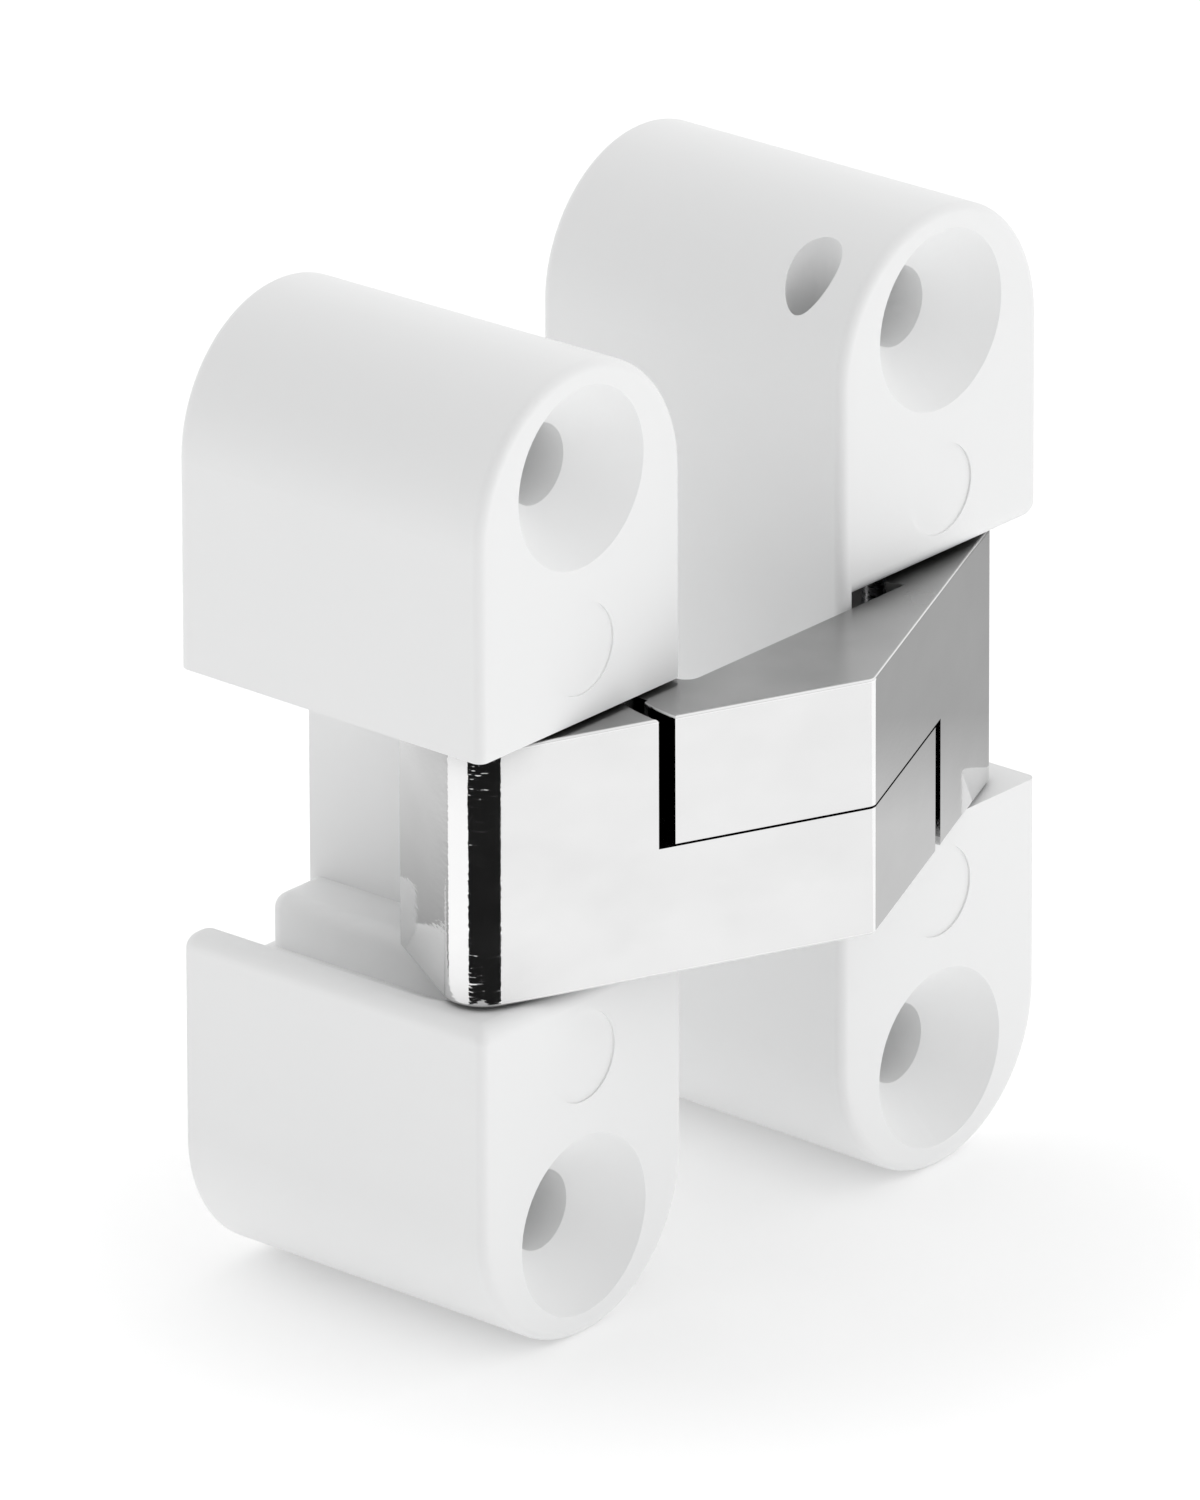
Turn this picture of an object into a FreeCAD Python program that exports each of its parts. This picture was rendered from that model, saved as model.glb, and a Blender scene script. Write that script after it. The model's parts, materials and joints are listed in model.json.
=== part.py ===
import FreeCAD, Part
import math
import os

# Concealed invisible door hinge, open at 180 degrees. All sizes are in millimetres.
# X runs across the two bodies, Y runs into them from their faces, Z is up.
# It is drawn about the middle of the face plane and moved to its origin on export.
# The left body and arm A are drawn. A half turn about Y gives the right body and arm B.

# Moulded bodies
BODY_WIDTH = 17.8
BODY_HEIGHT = 60.0
BODY_DEPTH = 23.0
BODY_SPACING = 14.3
BODY_DRAFT = 0.3
EDGE_ROUND = 0.6

# Screw holes and moulding marks
SCREW_PITCH = 46.2
SCREW_HOLE_RADIUS = 2.45
COUNTERSINK_RADIUS = 5.5
COUNTERSINK_DEPTH = 3.4
MARK_PITCH = 25.2
MARK_RADIUS = 2.8
MARK_DEPTH = 0.12

# Slot between the lobes
SLOT_HEIGHT = 16.4
COLUMN_WIDTH = 6.2
COLUMN_START = 11.0
SHOULDER_DEPTH = 7.3
INNER_WALL = 0.85
TAIL_WINDOW_DEPTH = 7.0
RIM_ROUND = 1.0
COLUMN_ROUND = 1.0

# Guide grooves in the slot's floor and ceiling
GROOVE_WIDTH = 5.3
GROOVE_DEPTH = 3.2
GROOVE_FROM_FLANK = 2.55
GROOVE_START = 3.8
GROOVE_ROUND = 1.0

# Arms
ARM_CLEARANCE = 0.25
LAP_GAP = 0.15
RIDGE_REACH = 8.3
RIDGE_ROUND = 0.8
ROOF_ANGLE = 23.6
HEAD_THICKNESS = 10.9
HEAD_CORNER = 2.4
SIDE_INSET = 2.3
SIDE_DEPTH = 5.05
SIDE_ANGLE = 58.6
HEAD_WALL_CLEARANCE = 1.0
BAND_BACK = 0.5
LAP_INNER_RADIUS = 11.7
LAP_STEP_GAP = 1.0
TAIL_ROOT_DEPTH = 0.4
CROOK_ROUND = 1.0
DEEP_CORNER = 0.3
ARM_EDGE_ROUND = 0.2

# Pins
RUNNING_CLEARANCE = 0.05
CENTRE_PIN_RADIUS = 2.0
CENTRE_PIN_LENGTH = 11.6
CENTRE_PIN_REACH = 4.0
CENTRE_BORE_MARGIN = 0.2
PIVOT_PIN_RADIUS = 1.6
PIVOT_INSET = 2.5
PIVOT_DEPTH = 4.2
PIVOT_PIN_GRIP = 6.0
TAIL_CLEARANCE = 0.1
SLIDE_PIN_RADIUS = 1.25
SLIDE_FROM_FLANK = 6.4
SLIDE_DEPTH = 6.5
PIN_CHAMFER = 0.25
SLIDE_END_CLEARANCE = 0.3

# Places that follow from the sizes above
HALF_WIDTH = BODY_WIDTH / 2
HALF_HEIGHT = BODY_HEIGHT / 2
BODY_X = -(BODY_SPACING / 2 + HALF_WIDTH)
OUTER_X = BODY_X - HALF_WIDTH
INNER_X = BODY_X + HALF_WIDTH
ARCH_Z = HALF_HEIGHT - HALF_WIDTH
SLOT_TOP = SLOT_HEIGHT / 2
ARM_TOP = SLOT_TOP - ARM_CLEARANCE
LAP_Z = LAP_GAP / 2
COLUMN_X = INNER_X - COLUMN_WIDTH
WALL_X = INNER_X - INNER_WALL
GROOVE_X = OUTER_X + GROOVE_FROM_FLANK + GROOVE_WIDTH / 2
PIVOT_X = INNER_X - PIVOT_INSET
TAIL_RADIUS = PIVOT_INSET - TAIL_CLEARANCE
HEAD_WALL_X = PIVOT_X - TAIL_RADIUS - HEAD_WALL_CLEARANCE
SLIDE_X = OUTER_X + SLIDE_FROM_FLANK
PIVOT_BORE = PIVOT_PIN_RADIUS + RUNNING_CLEARANCE
CENTRE_BORE = CENTRE_PIN_RADIUS + RUNNING_CLEARANCE
SLIDE_BORE = SLIDE_PIN_RADIUS + RUNNING_CLEARANCE
BEYOND = BODY_WIDTH
RIDGE_CORNER = RIDGE_REACH + RIDGE_ROUND * (1 / math.cos(math.radians(ROOF_ANGLE)) - 1)
ORIGIN = FreeCAD.Vector(0, (RIDGE_REACH - BODY_DEPTH) / 2, HALF_HEIGHT)


def vec(x, y, z=0.0):
    return FreeCAD.Vector(x, y, z)


def corner_arc(before, corner, after, radius):
    """Start, middle and end of the arc that rounds one corner of a plan."""
    to_before = (before - corner).normalize()
    to_after = (after - corner).normalize()
    half = to_before.getAngle(to_after) / 2
    bisector = (to_before + to_after).normalize()
    centre = corner + bisector * (radius / math.sin(half))
    along = radius / math.tan(half)
    middle = centre - bisector * radius
    return corner + to_before * along, middle, corner + to_after * along


def plan_face(corners):
    """A flat face in XY. Each corner is (x, y) or (x, y, radius)."""
    points = [vec(c[0], c[1]) for c in corners]
    radii = [c[2] if len(c) > 2 else 0.0 for c in corners]
    count = len(points)
    rounds = []
    for i in range(count):
        if radii[i] > 0:
            rounds.append(corner_arc(points[i - 1], points[i], points[(i + 1) % count], radii[i]))
        else:
            rounds.append((points[i], None, points[i]))
    edges = []
    for i in range(count):
        start, middle, end = rounds[i]
        if middle is not None:
            edges.append(Part.Arc(start, middle, end).toShape())
        following = rounds[(i + 1) % count][0]
        if (following - end).Length > 1e-6:
            edges.append(Part.LineSegment(end, following).toShape())
    return Part.Face(Part.Wire(edges))


def prism(face, bottom, top):
    solid = face.extrude(vec(0, 0, top - bottom))
    solid.translate(vec(0, 0, bottom))
    return solid


def upright(x, y, radius, bottom, top):
    return Part.makeCylinder(radius, top - bottom, vec(x, y, bottom), vec(0, 0, 1))


def half_turn(shape):
    """The same piece turned half round about the Y axis."""
    turned = shape.copy()
    turned.rotate(vec(0, 0), vec(0, 1), 180)
    return turned


def crossing(point_a, angle_a, point_b, angle_b):
    """Where two lines in plan cross, each given by a point and its angle."""
    ax, ay = math.cos(math.radians(angle_a)), math.sin(math.radians(angle_a))
    bx, by = math.cos(math.radians(angle_b)), math.sin(math.radians(angle_b))
    along = ((point_b[0] - point_a[0]) * by - (point_b[1] - point_a[1]) * bx) / (ax * by - ay * bx)
    return point_a[0] + along * ax, point_a[1] + along * ay


def stadium_wire(half_width, y):
    """The outline of a body, with its two round ends, at one depth."""
    left, right = BODY_X - half_width, BODY_X + half_width
    top = Part.Arc(vec(left, y, ARCH_Z), vec(BODY_X, y, ARCH_Z + half_width), vec(right, y, ARCH_Z))
    bottom = Part.Arc(vec(right, y, -ARCH_Z), vec(BODY_X, y, -ARCH_Z - half_width), vec(left, y, -ARCH_Z))
    right_side = Part.LineSegment(vec(right, y, ARCH_Z), vec(right, y, -ARCH_Z))
    left_side = Part.LineSegment(vec(left, y, -ARCH_Z), vec(left, y, ARCH_Z))
    return Part.Wire([top.toShape(), right_side.toShape(), bottom.toShape(), left_side.toShape()])


def body_blank():
    """The drafted block with round ends and softened rims."""
    face = stadium_wire(HALF_WIDTH, 0)
    back = stadium_wire(HALF_WIDTH - BODY_DRAFT, BODY_DEPTH)
    blank = Part.makeLoft([face, back], True, True)
    rims = [e for e in blank.Edges if e.BoundBox.YLength < 1e-6]
    return blank.makeFillet(EDGE_ROUND, rims)


def slot_void():
    """The slot for the arms: open at the face, at the outer flank and at the outer part of the back."""
    plan = plan_face([
        (OUTER_X - BEYOND, -BEYOND),
        (WALL_X, -BEYOND),
        (WALL_X, SHOULDER_DEPTH),
        (COLUMN_X, COLUMN_START, COLUMN_ROUND),
        (COLUMN_X, BODY_DEPTH + BEYOND),
        (OUTER_X - BEYOND, BODY_DEPTH + BEYOND),
    ])
    return prism(plan, -SLOT_TOP, SLOT_TOP)


def tail_window():
    """The upper half of the inner flank is open where the other arm's tail turns."""
    return Part.makeBox(INNER_WALL + BEYOND, TAIL_WINDOW_DEPTH + BEYOND, SLOT_TOP, vec(WALL_X, -BEYOND, 0))


def level_edges(shape, z):
    """The edges that lie flat at one height."""
    return [e for e in shape.Edges if abs(e.BoundBox.ZMin - z) + abs(e.BoundBox.ZMax - z) < 1e-4]


def softened_floor_edge(body):
    """Round the edges where the slot's floor meets the outer flank and the face."""
    rims = []
    for edge in level_edges(body, -SLOT_TOP):
        box = edge.BoundBox
        at_flank = box.YLength > BODY_DEPTH / 2 and box.XMax < BODY_X
        at_face = box.XLength > BODY_WIDTH / 2 and box.YMax < EDGE_ROUND
        if at_flank or at_face:
            rims.append(edge)
    return body.makeFillet(RIM_ROUND, rims)


def softened_groove_edge(body):
    """Round the edge where the lower groove opens into the slot's floor."""
    half = GROOVE_WIDTH / 2
    rims = []
    for edge in level_edges(body, -SLOT_TOP):
        box = edge.BoundBox
        on_left = abs(box.XMin - (GROOVE_X - half)) < 1e-3
        on_right = abs(box.XMax - (GROOVE_X + half)) < 1e-3
        if on_left or on_right:
            rims.append(edge)
    return body.makeFillet(GROOVE_ROUND, rims)


def guide_groove(floor_z, outward):
    """One groove for an end of the slide pin, open at the back."""
    half = GROOVE_WIDTH / 2
    round_y = GROOVE_START + half
    far_y = BODY_DEPTH + BEYOND
    left, right = GROOVE_X - half, GROOVE_X + half
    outline = Part.Wire([
        Part.Arc(vec(left, round_y), vec(GROOVE_X, GROOVE_START), vec(right, round_y)).toShape(),
        Part.LineSegment(vec(right, round_y), vec(right, far_y)).toShape(),
        Part.LineSegment(vec(right, far_y), vec(left, far_y)).toShape(),
        Part.LineSegment(vec(left, far_y), vec(left, round_y)).toShape(),
    ])
    low, high = sorted((floor_z, floor_z + outward * GROOVE_DEPTH))
    return prism(Part.Face(outline), low, high)


def screw_hole(z):
    axis = vec(0, 1)
    hole = Part.makeCylinder(SCREW_HOLE_RADIUS, BODY_DEPTH + 2 * BEYOND, vec(BODY_X, -BEYOND, z), axis)
    sink = Part.makeCone(COUNTERSINK_RADIUS, SCREW_HOLE_RADIUS, COUNTERSINK_DEPTH, vec(BODY_X, 0, z), axis)
    return hole.fuse(sink)


def left_body():
    body = body_blank().cut(slot_void())
    body = softened_floor_edge(body.cut(tail_window()))
    for side in (-1, 1):
        body = body.cut(guide_groove(side * SLOT_TOP, side))
    body = softened_groove_edge(body)
    for side in (-1, 1):
        body = body.cut(screw_hole(side * SCREW_PITCH / 2))
        mark_start = vec(BODY_X, -MARK_DEPTH, side * MARK_PITCH / 2)
        body = body.cut(Part.makeCylinder(MARK_RADIUS, 2 * MARK_DEPTH, mark_start, vec(0, 1)))
    bore = upright(PIVOT_X, PIVOT_DEPTH, PIVOT_BORE, -HALF_HEIGHT, SLOT_TOP + PIVOT_PIN_GRIP)
    return body.cut(bore)


def rounded_upright_edge(shape, x, y, radius):
    """Round the upright edges of a piece that stand at one place in plan."""
    edges = []
    for edge in shape.Edges:
        box = edge.BoundBox
        if box.ZLength > ARM_TOP / 4 and abs(box.XMin - x) + abs(box.XMax - x) < 1e-3:
            if abs(box.YMin - y) + abs(box.YMax - y) < 1e-3:
                edges.append(edge)
    return shape.makeFillet(radius, edges)


def arm_head():
    """The full-height end, which fills the slot behind the outer flank when the door is shut."""
    ridge = (0, -RIDGE_CORNER)
    side_point = (OUTER_X + SIDE_INSET, SIDE_DEPTH)
    roof_line = 180 - ROOF_ANGLE
    normal = math.radians(90 - ROOF_ANGLE)
    back_point = (ridge[0] + HEAD_THICKNESS * math.cos(normal), ridge[1] + HEAD_THICKNESS * math.sin(normal))
    nose_y = PIVOT_DEPTH - TAIL_RADIUS
    nose_run = LAP_STEP_GAP + HEAD_WALL_CLEARANCE
    front_left = crossing(ridge, roof_line, side_point, SIDE_ANGLE)
    deep_corner = crossing(back_point, roof_line, side_point, SIDE_ANGLE)
    inner_back = crossing(back_point, roof_line, (HEAD_WALL_X, 0), 90)
    roof_end = crossing(ridge, roof_line, (HEAD_WALL_X + nose_run, 0), 90)
    plan = plan_face([
        (front_left[0], front_left[1], HEAD_CORNER),
        roof_end,
        (HEAD_WALL_X + nose_run, nose_y - nose_run),
        (HEAD_WALL_X, nose_y),
        (inner_back[0], inner_back[1], HEAD_CORNER),
        (deep_corner[0], deep_corner[1], DEEP_CORNER),
    ])
    head = prism(plan, -ARM_TOP, ARM_TOP)
    head = head.cut(upright(0, -CENTRE_PIN_REACH, LAP_INNER_RADIUS + LAP_STEP_GAP, -ARM_TOP, ARM_TOP))
    return head.cut(upright(SLIDE_X, SLIDE_DEPTH, SLIDE_BORE, -ARM_TOP, ARM_TOP))


def arm_band():
    """The half-height band from the head, over the ridge, to the round tail."""
    slope = math.tan(math.radians(ROOF_ANGLE))
    tail_x = -PIVOT_X
    plan = plan_face([
        (0, -RIDGE_CORNER, RIDGE_ROUND),
        (tail_x + TAIL_RADIUS, -RIDGE_CORNER + slope * (tail_x + TAIL_RADIUS)),
        (tail_x + TAIL_RADIUS, -BAND_BACK),
        (HEAD_WALL_X, -BAND_BACK),
        (HEAD_WALL_X, -RIDGE_CORNER - slope * HEAD_WALL_X),
    ])
    band = prism(plan, -ARM_TOP, -LAP_Z)
    reach = upright(0, -CENTRE_PIN_REACH, LAP_INNER_RADIUS, -ARM_TOP, ARM_TOP)
    tail_side = Part.makeBox(BEYOND, 2 * BEYOND, 2 * ARM_TOP, vec(0, -BEYOND, -ARM_TOP))
    band = band.cut(tail_side.cut(reach))
    root_x = math.sqrt(LAP_INNER_RADIUS ** 2 - (TAIL_ROOT_DEPTH + CENTRE_PIN_REACH) ** 2)
    tail = prism(plan_face([
        (tail_x - TAIL_RADIUS, -2 * BAND_BACK),
        (tail_x - TAIL_RADIUS, PIVOT_DEPTH),
        (tail_x + TAIL_RADIUS, PIVOT_DEPTH),
        (root_x, TAIL_ROOT_DEPTH),
        (root_x, -2 * BAND_BACK),
    ]), -ARM_TOP, -LAP_Z)
    tail = tail.fuse(upright(tail_x, PIVOT_DEPTH, TAIL_RADIUS, -ARM_TOP, -LAP_Z))
    return band.fuse(tail)


def shown_arm_edges(arm):
    """The top and bottom edges of the head's outer end and of the two roofs, without the bore's rims."""
    shown = []
    for edge in level_edges(arm, -ARM_TOP) + level_edges(arm, ARM_TOP):
        box = edge.BoundBox
        outside = box.XMax < HEAD_WALL_X - HEAD_WALL_CLEARANCE
        in_front = box.YMin < -BAND_BACK - LAP_STEP_GAP
        bore = isinstance(edge.Curve, Part.Circle) and abs(edge.Curve.Radius - SLIDE_BORE) < 1e-6
        if (outside or in_front) and not bore:
            shown.append(edge)
    return shown


def arm_a():
    """Arm A: its head slides in the left body and its lower tail turns in the right one."""
    arm = arm_head().fuse(arm_band()).removeSplitter()
    arm = rounded_upright_edge(arm, -PIVOT_X - TAIL_RADIUS, -BAND_BACK, CROOK_ROUND)
    arm = arm.makeFillet(ARM_EDGE_ROUND, shown_arm_edges(arm))
    arm = arm.cut(upright(-PIVOT_X, PIVOT_DEPTH, PIVOT_BORE, -ARM_TOP, -LAP_Z))
    return arm.cut(upright(0, -CENTRE_PIN_REACH, CENTRE_BORE, -CENTRE_PIN_LENGTH / 2 - CENTRE_BORE_MARGIN, 0))


def pin(x, y, radius, bottom, top):
    """A plain steel pin with chamfered ends."""
    body = upright(x, y, radius, bottom, top)
    rims = [e for e in body.Edges if e.BoundBox.ZLength < 1e-6]
    return body.makeChamfer(PIN_CHAMFER, rims)


def centre_pin():
    return pin(0, -CENTRE_PIN_REACH, CENTRE_PIN_RADIUS, -CENTRE_PIN_LENGTH / 2, CENTRE_PIN_LENGTH / 2)


def left_pivot_pin():
    return pin(PIVOT_X, PIVOT_DEPTH, PIVOT_PIN_RADIUS, -SLOT_TOP - PIVOT_PIN_GRIP, SLOT_TOP + PIVOT_PIN_GRIP)


def left_slide_pin():
    reach = SLOT_TOP + GROOVE_DEPTH - SLIDE_END_CLEARANCE
    return pin(SLIDE_X, SLIDE_DEPTH, SLIDE_PIN_RADIUS, -reach, reach)


def export(name, shape):
    placed = shape.copy()
    placed.translate(ORIGIN)
    placed.exportStep("parts/" + name + ".step")
    print(name, "valid" if placed.isValid() else "INVALID", len(placed.Solids), round(placed.Volume, 2))


def main():
    os.makedirs("parts", exist_ok=True)
    body = left_body()
    export("left_body", body)
    export("right_body", half_turn(body))
    arm = arm_a()
    export("arm_a", arm)
    export("arm_b", half_turn(arm))
    export("centre_pin", centre_pin())
    pivot = left_pivot_pin()
    export("left_pivot_pin", pivot)
    export("right_pivot_pin", half_turn(pivot))
    slide = left_slide_pin()
    export("left_slide_pin", slide)
    export("right_slide_pin", half_turn(slide))


main()
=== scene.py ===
"""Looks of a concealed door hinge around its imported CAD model: materials, light, floor and camera."""

import json
import math

import bpy
from mathutils import Matrix, Vector

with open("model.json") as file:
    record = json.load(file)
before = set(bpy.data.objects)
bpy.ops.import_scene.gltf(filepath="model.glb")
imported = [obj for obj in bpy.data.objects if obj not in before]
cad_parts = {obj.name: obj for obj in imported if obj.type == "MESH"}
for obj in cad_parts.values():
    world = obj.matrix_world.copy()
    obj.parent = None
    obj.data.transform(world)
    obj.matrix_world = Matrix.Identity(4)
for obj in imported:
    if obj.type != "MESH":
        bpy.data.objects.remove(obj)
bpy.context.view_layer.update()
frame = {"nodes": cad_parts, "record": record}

MM = 0.001
WHITE = (1.0, 1.0, 1.0, 1.0)

# Camera at the photograph's viewing angle
CAMERA_AZIMUTH = 49.693
CAMERA_ELEVATION = 22.297
CAMERA_ROLL = -0.195
CAMERA_OFFSET_MM = Vector((3.853, -27.215, 1500.0))
SENSOR_MM = 36.0
FOCAL_PIXELS = 25768.7
FRAME_HEIGHT_PIXELS = 1500.0
CLIP_END = 20.0

# Light: a white studio, dimmer on the camera's side
SKY_BRIGHTNESS = 0.86
SKY_LEAN = (0.10, -0.05, 0.14)
DARK_SIDE = (-0.88, -0.45, 0.148)
DARK_SIDE_EDGES = (0.3, 0.9)
DARK_SIDE_DEPTH = 0.48

# Floor: it glows a little, and its glow is dimmer round the hinge as a painted contact shadow
FLOOR_SIZE = 4.0
FLOOR_WHITE = 0.95
FLOOR_ROUGHNESS = 0.9
FLOOR_SPECULAR = 0.1
PAINTED_SHADOW_RADII_MM = (21.0, 52.0)
GLOW_IN_PAINTED_SHADOW_AND_FAR = (0.18, 0.33)

# Reflection cards round the polished arms: corners in mm, then height in mm and grey at the foot and at the head
CARDS = {
    "dark_card": ([(-29.5, -112, 0.4), (-68, -104, 0.4), (-102, -80, 0.4), (-123, -44, 0.4), (-128, -2, 0.4),
                   (-72, -4, 0.4), (-60, -34, 0.4), (-27, -56, 0.4)], (0, 0.012), (1, 0.012)),
    "front_card": ([(-24, -118, 0.4), (40, -118, 0.4), (40, -50, 0.4), (-24, -50, 0.4)], (0, 1.0), (1, 1.0)),
    "right_card": ([(45, -22, 0), (45, 12, 0), (45, 12, 45), (45, -22, 45)], (10, 0.64), (17, 0.42)),
    "back_card": ([(-32, 24, 0.4), (-8, 24, 0.4), (-8, 24, 42), (-32, 24, 42)], (10, 0.20), (27, 0.80)),
}

# Noise scales are per metre, tones and roughnesses are from low to high noise, and relief is in mm
NOISE_SPAN = (0.3, 0.7)

PLASTIC_TONES = ((0.915, 0.919, 0.919), (0.933, 0.935, 0.935))
PLASTIC_TONE_SCALE = (60.0, 60.0, 60.0)
PLASTIC_IOR = 1.49
PLASTIC_SPECULAR = 0.42
PLASTIC_ROUGHNESS = (0.40, 0.52)
GRAIN_SCALE = (5200.0, 5200.0, 5200.0)
GRAIN_RELIEF = 0.004
FLOW_SCALE = (900.0, 40.0, 900.0)
FLOW_RELIEF = 0.003
FLOW_STRENGTH = 0.6

CHROME_TONE_SCALE = (150.0, 150.0, 240.0)
POLISHED_TONES = ((0.81, 0.81, 0.81), (0.86, 0.86, 0.86))
DULL_TONES = ((0.40, 0.40, 0.40), (0.50, 0.50, 0.50))
DULL_LEVELNESS = (0.80, 0.97)
SMEAR_SCALE = (160.0, 160.0, 420.0)
POLISHED_ROUGHNESS = (0.035, 0.075)
DULL_ROUGHNESS = (0.20, 0.28)
# Painted shade on the chrome: how far the occlusion looks, its samples, and the grey that the colour darkens to in
# crevices and gaps
PAINTED_SHADE_REACH_MM = 5.0
PAINTED_SHADE_SAMPLES = 3
PAINTED_SHADE_GREY = (0.15, 0.15, 0.15)
SWELL_SCALE = (900.0, 900.0, 3000.0)
SWELL_RELIEF = 0.019
SWELL_FROM_MIDDLE_MM = (21.5, 23.0)
SWELL_SHARE = (0.15, 1.0)

RING_SCALE = (60.0, 60.0, 9000.0)
RING_TONES = ((0.50, 0.50, 0.51), (0.64, 0.64, 0.65))
RING_ROUGHNESS = (0.22, 0.36)
RING_RELIEF = 0.006


def feed(tree, node, inputs):
    """Set a node's sockets to values, or link other nodes' outputs to them."""
    for socket, value in inputs.items():
        if isinstance(value, bpy.types.NodeSocket):
            tree.links.new(value, node.inputs[socket])
        else:
            node.inputs[socket].default_value = value


def add(tree, kind, inputs, **settings):
    node = tree.nodes.new("ShaderNode" + kind)
    for name, value in settings.items():
        setattr(node, name, value)
    feed(tree, node, inputs)
    return node


def new_material(name):
    material = bpy.data.materials.new(name)
    material.use_nodes = True
    return material, material.node_tree


def position(tree):
    """Object coordinates, in metres in the CAD frame."""
    return add(tree, "TexCoord", {}).outputs["Object"]


def split(tree, vector):
    return add(tree, "SeparateXYZ", {"Vector": vector}).outputs


def absolute(tree, value):
    return add(tree, "Math", {0: value}, operation="ABSOLUTE").outputs["Value"]


def noise(tree, scale, detail, roughness=0.5):
    place = add(tree, "Mapping", {"Vector": position(tree), "Scale": scale}).outputs["Vector"]
    texture = add(tree, "TexNoise", {"Vector": place, "Scale": 1.0, "Detail": detail, "Roughness": roughness})
    return texture.outputs["Fac"]


def map_range(tree, value, source, target, interpolation="LINEAR"):
    inputs = {"Value": value, "From Min": source[0], "From Max": source[1], "To Min": target[0], "To Max": target[1]}
    return add(tree, "MapRange", inputs, interpolation_type=interpolation).outputs["Result"]


def spread(tree, value, target):
    """Map a noise value to a range."""
    return map_range(tree, value, NOISE_SPAN, target)


def mix(tree, factor, first, second, **settings):
    return add(tree, "Mix", {"Factor": factor, "A": first, "B": second}, **settings).outputs["Result"]


def blend(tree, factor, tones):
    """Blend two colours by a factor."""
    return mix(tree, factor, (*tones[0], 1.0), (*tones[1], 1.0), data_type="RGBA")


def bump(tree, height, relief, inputs=None):
    node = add(tree, "Bump", {"Height": height, "Distance": relief * MM, **(inputs or {})})
    return node.outputs["Normal"]


def white_plastic():
    """Satin white moulded plastic: fine grain, faint flow marks along the depth, even tone."""
    material, tree = new_material("white_plastic_look")
    flow = noise(tree, FLOW_SCALE, 3.0, 0.6)
    grain = bump(tree, noise(tree, GRAIN_SCALE, 2.0), GRAIN_RELIEF)
    feed(tree, tree.nodes["Principled BSDF"], {
        "IOR": PLASTIC_IOR,
        "Specular IOR Level": PLASTIC_SPECULAR,
        "Base Color": blend(tree, noise(tree, PLASTIC_TONE_SCALE, 2.0), PLASTIC_TONES),
        "Roughness": spread(tree, flow, PLASTIC_ROUGHNESS),
        "Normal": bump(tree, flow, FLOW_RELIEF, {"Strength": FLOW_STRENGTH, "Normal": grain}),
    })
    return material


def chrome():
    """Bright chrome on a casting: polished sides, dull ground top and bottom faces, painted shade darkening its
    crevices and gaps, rippled ends.
    """
    material, tree = new_material("chrome_look")
    normal = add(tree, "NewGeometry", {}).outputs["Normal"]
    ground = map_range(tree, absolute(tree, split(tree, normal)["Z"]), DULL_LEVELNESS, (0.0, 1.0), "SMOOTHSTEP")
    haze = spread(tree, noise(tree, CHROME_TONE_SCALE, 4.0), (0.0, 1.0))
    tone = mix(tree, ground, blend(tree, haze, POLISHED_TONES), blend(tree, haze, DULL_TONES), data_type="RGBA")
    # Painted shade: an ambient-occlusion mask darkens the chrome's colour in crevices, in gaps and near the slot
    # floor
    shade_occlusion = add(tree, "AmbientOcclusion", {"Distance": PAINTED_SHADE_REACH_MM * MM}, samples=PAINTED_SHADE_SAMPLES)
    painted_shade = blend(tree, shade_occlusion.outputs["AO"], (PAINTED_SHADE_GREY, WHITE[:3]))
    smear = noise(tree, SMEAR_SCALE, 3.0)
    from_middle = absolute(tree, split(tree, position(tree))["X"])
    share = map_range(tree, from_middle, [edge * MM for edge in SWELL_FROM_MIDDLE_MM], SWELL_SHARE)
    swell = add(tree, "Math", {0: noise(tree, SWELL_SCALE, 2.0), 1: share}, operation="MULTIPLY")
    feed(tree, tree.nodes["Principled BSDF"], {
        "Metallic": 1.0,
        "Base Color": mix(tree, 1.0, tone, painted_shade, data_type="RGBA", blend_type="MULTIPLY"),
        "Roughness": mix(tree, ground, spread(tree, smear, POLISHED_ROUGHNESS), spread(tree, smear, DULL_ROUGHNESS)),
        "Normal": bump(tree, swell.outputs["Value"], SWELL_RELIEF),
    })
    return material


def steel():
    """Turned steel: fine rings along the pin."""
    material, tree = new_material("steel_look")
    rings = noise(tree, RING_SCALE, 2.0)
    feed(tree, tree.nodes["Principled BSDF"], {
        "Metallic": 1.0,
        "Base Color": blend(tree, rings, RING_TONES),
        "Roughness": spread(tree, rings, RING_ROUGHNESS),
        "Normal": bump(tree, rings, RING_RELIEF),
    })
    return material


def dress(slots):
    """Give each CAD node the look of its material slot."""
    for entry in frame["record"]["subparts"]:
        node = frame["nodes"][entry["node"]]
        for slot in node.material_slots:
            slot.material = slots[entry["material_slot"]]


def new_sheet(name, corners):
    mesh = bpy.data.meshes.new(name)
    mesh.from_pydata(corners, [], [tuple(range(len(corners)))])
    sheet = bpy.data.objects.new(name, mesh)
    bpy.context.scene.collection.objects.link(sheet)
    return sheet


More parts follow.
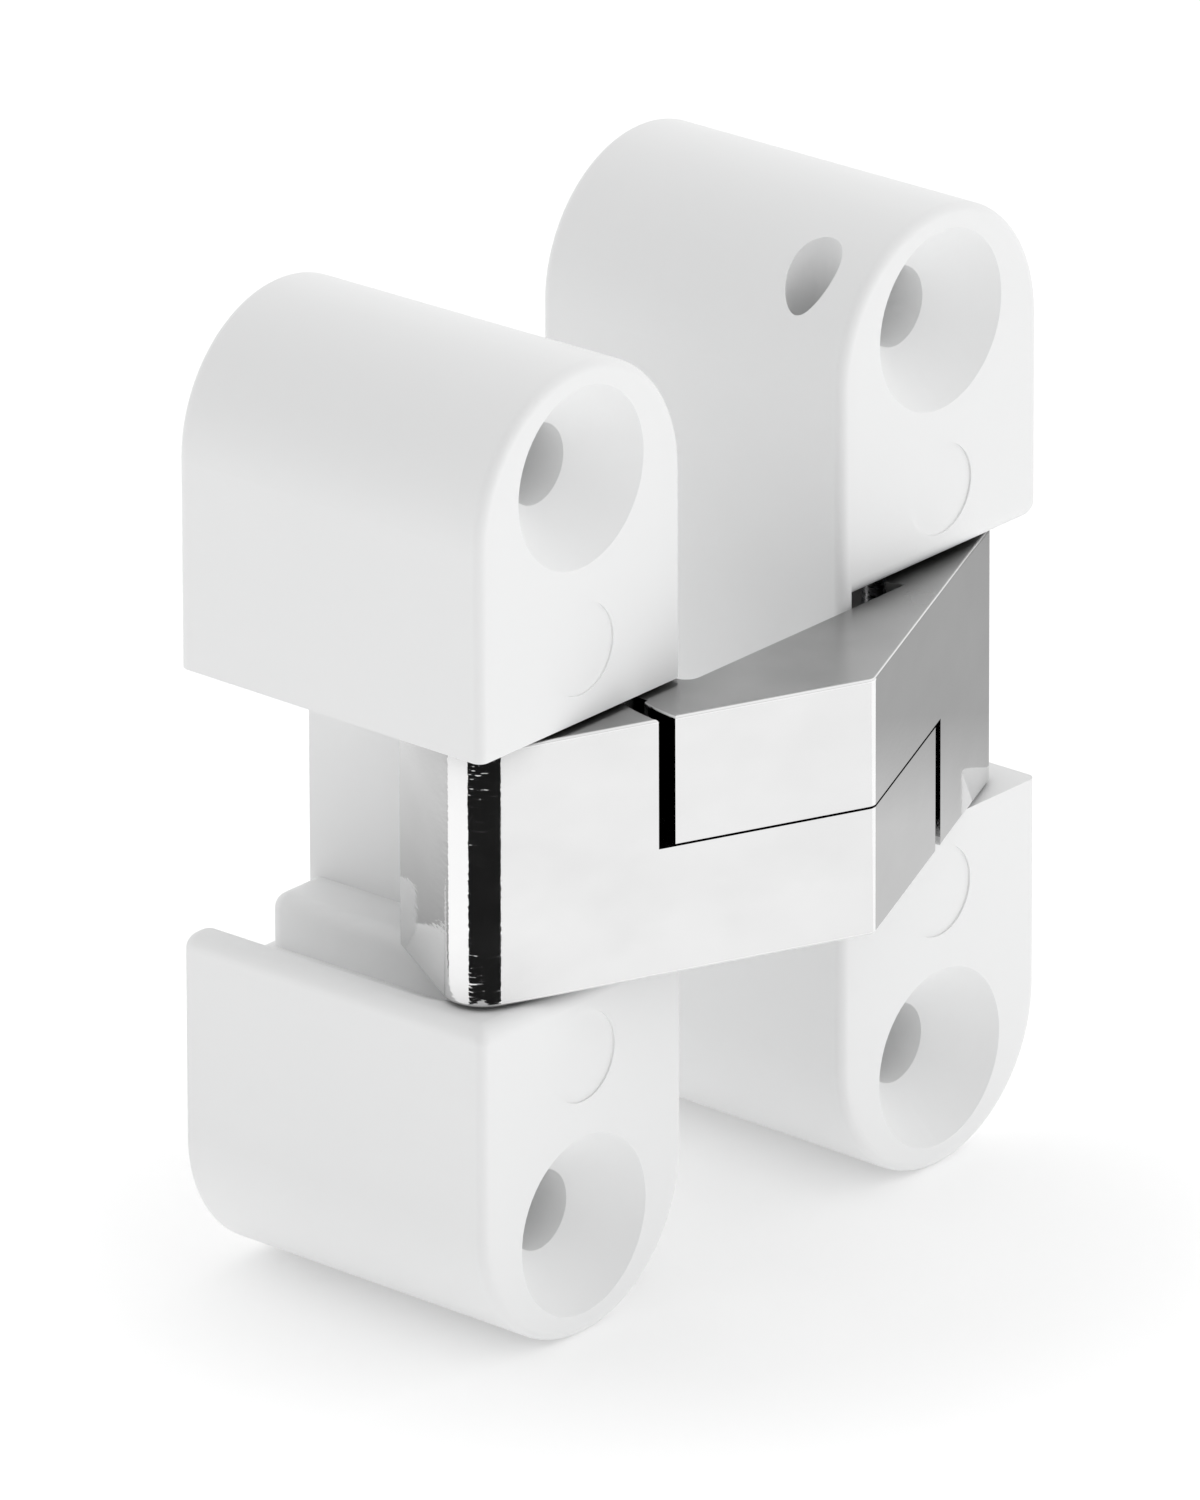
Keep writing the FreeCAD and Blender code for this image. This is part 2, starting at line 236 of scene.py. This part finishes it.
def make_floor():
    half = FLOOR_SIZE / 2
    floor = new_sheet("floor", [(-half, -half, 0), (half, -half, 0), (half, half, 0), (-half, half, 0)])
    material, tree = new_material("floor_look")
    away = add(tree, "VectorMath", {0: position(tree)}, operation="LENGTH").outputs["Value"]
    distances = [distance * MM for distance in PAINTED_SHADOW_RADII_MM]
    feed(tree, tree.nodes["Principled BSDF"], {
        "Base Color": (FLOOR_WHITE, FLOOR_WHITE, FLOOR_WHITE, 1.0),
        "Emission Color": WHITE,
        # Painted contact shadow: the glow is dimmer near the hinge and rises to the even far glow
        "Emission Strength": map_range(tree, away, distances, GLOW_IN_PAINTED_SHADOW_AND_FAR, "SMOOTHSTEP"),
        "Roughness": FLOOR_ROUGHNESS,
        "Specular IOR Level": FLOOR_SPECULAR,
    })
    floor.data.materials.append(material)


def make_card(name, corners, foot, head):
    """A card that only reflections see, with a grey that changes over its height."""
    card = new_sheet(name, [Vector(corner) * MM for corner in corners])
    card.visible_camera = False
    card.visible_diffuse = False
    card.visible_transmission = False
    card.visible_shadow = False
    material, tree = new_material(name + "_look")
    tree.nodes.remove(tree.nodes["Principled BSDF"])
    (foot_height, foot_grey), (head_height, head_grey) = foot, head
    height = map_range(tree, split(tree, position(tree))["Z"], (foot_height * MM, head_height * MM), (0.0, 1.0))
    glow = add(tree, "Emission", {"Color": blend(tree, height, ((foot_grey,) * 3, (head_grey,) * 3))})
    feed(tree, tree.nodes["Material Output"], {"Surface": glow.outputs["Emission"]})
    card.data.materials.append(material)


def make_world():
    world = bpy.data.worlds.new("studio")
    world.use_nodes = True
    tree = world.node_tree
    direction = add(tree, "TexCoord", {}).outputs["Generated"]
    toward_dark = add(tree, "VectorMath", {0: direction, 1: DARK_SIDE}, operation="DOT_PRODUCT").outputs["Value"]
    lean = add(tree, "VectorMath", {0: direction, 1: SKY_LEAN}, operation="DOT_PRODUCT").outputs["Value"]
    levels = (SKY_BRIGHTNESS, SKY_BRIGHTNESS - DARK_SIDE_DEPTH)
    dip = map_range(tree, toward_dark, DARK_SIDE_EDGES, levels, "SMOOTHSTEP")
    strength = add(tree, "Math", {0: lean, 1: dip}, operation="ADD").outputs["Value"]
    feed(tree, tree.nodes["Background"], {"Color": WHITE, "Strength": strength})
    bpy.context.scene.world = world


def make_camera():
    azimuth, elevation, roll = (math.radians(v) for v in (CAMERA_AZIMUTH, CAMERA_ELEVATION, CAMERA_ROLL))
    level = math.cos(elevation)
    forward = Vector((math.sin(azimuth) * level, math.cos(azimuth) * level, -math.sin(elevation)))
    level_right = Vector((math.cos(azimuth), -math.sin(azimuth), 0.0))
    level_up = level_right.cross(forward)
    right = level_right * math.cos(roll) + level_up * math.sin(roll)
    up = level_up * math.cos(roll) - level_right * math.sin(roll)
    offset = CAMERA_OFFSET_MM * MM
    place = -(right * offset.x + up * offset.y + forward * offset.z)
    data = bpy.data.cameras.new("camera")
    data.sensor_width = SENSOR_MM
    data.lens = FOCAL_PIXELS * SENSOR_MM / FRAME_HEIGHT_PIXELS
    data.clip_end = CLIP_END
    camera = bpy.data.objects.new("camera", data)
    turn = Matrix((right, up, -forward)).transposed()
    camera.matrix_world = Matrix.Translation(place) @ turn.to_4x4()
    bpy.context.scene.collection.objects.link(camera)
    bpy.context.scene.camera = camera


dress({"white_plastic": white_plastic(), "chrome_zinc": chrome(), "steel_pin": steel()})
make_floor()
for card_name, card_shape in CARDS.items():
    make_card(card_name, *card_shape)
make_world()
make_camera()
bpy.context.scene.view_settings.view_transform = "Standard"
